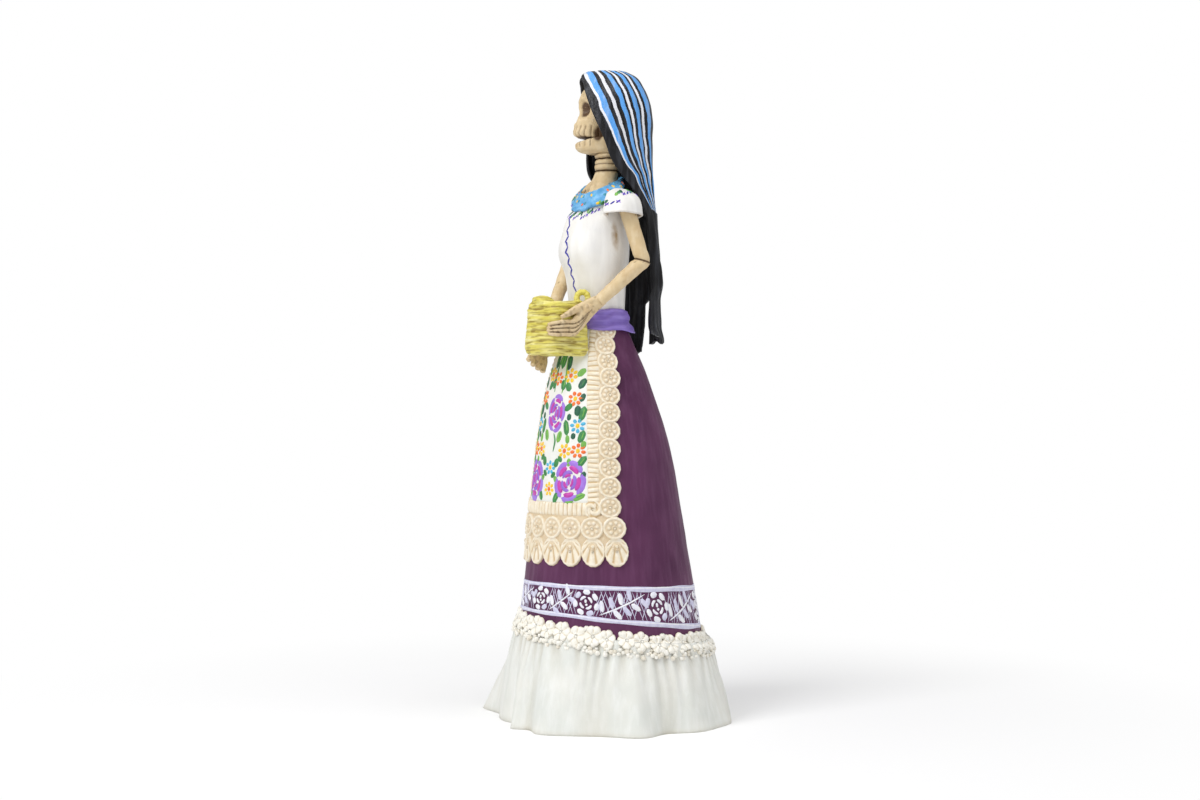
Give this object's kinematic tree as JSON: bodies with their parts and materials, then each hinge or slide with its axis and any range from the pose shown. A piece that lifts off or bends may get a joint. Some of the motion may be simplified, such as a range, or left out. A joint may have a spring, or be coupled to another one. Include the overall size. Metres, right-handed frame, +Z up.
{
  "type": "papier-mache catrina figure",
  "caption": "Standing skeleton figure in a long skirt, lace-edged apron and striped hooded shawl, holding a small plaited palm basket before its waist.",
  "frame": {"origin": "on the resting surface, under the middle of the ruffled hem", "axes": "+Z up through the figure, -Y the way the figure's chest faces, +X towards the figure's own left hand side"},
  "size_m": [0.1435, 0.1412, 0.3665],
  "materials": {
    "painted_skirt": "satin hand paint over pasted paper",
    "cream_lace": "matt cream paint with a tan wash in the recesses",
    "white_cloth": "soft white paint with brush streaks",
    "apron_white": "matt white paint with painted flowers",
    "violet_sash": "satin violet paint",
    "blue_collar": "matt bright blue paint with dotted flowers",
    "bone": "matt bone paint with a brown wash",
    "shawl": "black paint with white and blue stripes and a silvery dry brush",
    "palm": "yellow green paint with darker grooves",
    "raw_paper": "unpainted pressed paper",
    "former_board": "plain brown board",
    "raw_wood": "sanded pine",
    "steel": "plain steel"
  },
  "bodies": {
    "root": {"base_disc": "raw_wood", "base_screw": "steel", "armature_dowel": "raw_wood", "cardboard_former_1": "former_board", "cardboard_former_2": "former_board", "paper_core": "raw_paper", "left_arm_wire": "steel", "right_arm_wire": "steel", "neck_wire": "steel", "skirt": "painted_skirt", "hem_ruffle": "white_cloth", "hem_rosettes": "cream_lace", "apron_panel": "apron_white", "apron_left_border": "cream_lace", "apron_right_border": "cream_lace", "apron_foot_border": "cream_lace", "apron_left_medallions": "cream_lace", "apron_right_medallions": "cream_lace", "apron_rosettes": "cream_lace", "apron_shells": "cream_lace", "sash": "violet_sash", "blouse": "white_cloth", "left_sleeve": "white_cloth", "right_sleeve": "white_cloth", "collar": "blue_collar", "collarbone": "bone", "neck_vertebra": "bone", "neck_disc": "bone", "skull": "bone", "lower_jaw": "bone", "left_upper_arm": "bone", "left_forearm": "bone", "left_hand": "bone", "right_upper_arm": "bone", "right_forearm": "bone", "right_hand": "bone", "shawl_hood": "shawl", "shawl_left_tail": "shawl", "shawl_right_tail": "shawl", "basket": "palm", "basket_handle": "palm"}
  },
  "joints": []
}
